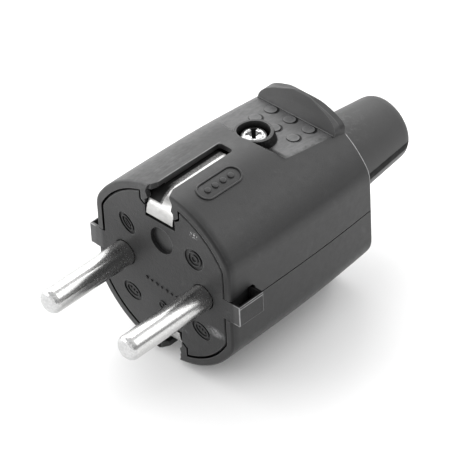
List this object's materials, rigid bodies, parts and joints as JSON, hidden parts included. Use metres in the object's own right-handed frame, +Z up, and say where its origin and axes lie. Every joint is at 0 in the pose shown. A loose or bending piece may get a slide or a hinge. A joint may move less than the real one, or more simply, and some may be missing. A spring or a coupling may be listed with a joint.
{
  "type": "type f plug",
  "caption": "Black two-part rewirable mains plug with two round nickel pins, side guide lugs, earth contact strips and a short straight cable sleeve",
  "frame": {"origin": "centre of the flat engagement face, midway between the two pins, on the plane the pins stand out from", "axes": "Y runs along the plug: the pins point along -Y and the cable outlet faces +Y; X joins the two pins; Z is up, on the side of the housing screw"},
  "size_m": [0.0366, 0.0765, 0.0386],
  "materials": {
    "black_plastic": "matte moulded thermoplastic with a fine spark-eroded texture",
    "black_insert_plastic": "satin moulded thermoset, slightly mottled",
    "nickel_plate": "bright nickel plating on brass, turned ends",
    "zinc_steel": "bright zinc plated steel",
    "tinned_strip": "bright nickel plated spring strip",
    "grey_fibre": "matte moulded plastic, hidden inside",
    "black_rubber": "smooth matte soft rubber"
  },
  "bodies": {
    "root": {"housing_upper": "black_plastic", "housing_lower": "black_plastic", "pin_carrier": "black_insert_plastic", "carrier_bridge": "black_insert_plastic", "pin_left": "nickel_plate", "pin_right": "nickel_plate", "terminal_screw_left": "zinc_steel", "terminal_screw_right": "zinc_steel", "pressure_plate_left": "zinc_steel", "pressure_plate_right": "zinc_steel", "earth_contact": "tinned_strip", "earth_screw": "zinc_steel", "earth_clamp_plate": "zinc_steel", "cord_clamp": "grey_fibre", "cord_clamp_screw_left": "zinc_steel", "cord_clamp_screw_right": "zinc_steel", "housing_screw": "zinc_steel", "housing_nut": "zinc_steel", "cable_sleeve": "black_rubber"}
  },
  "joints": []
}
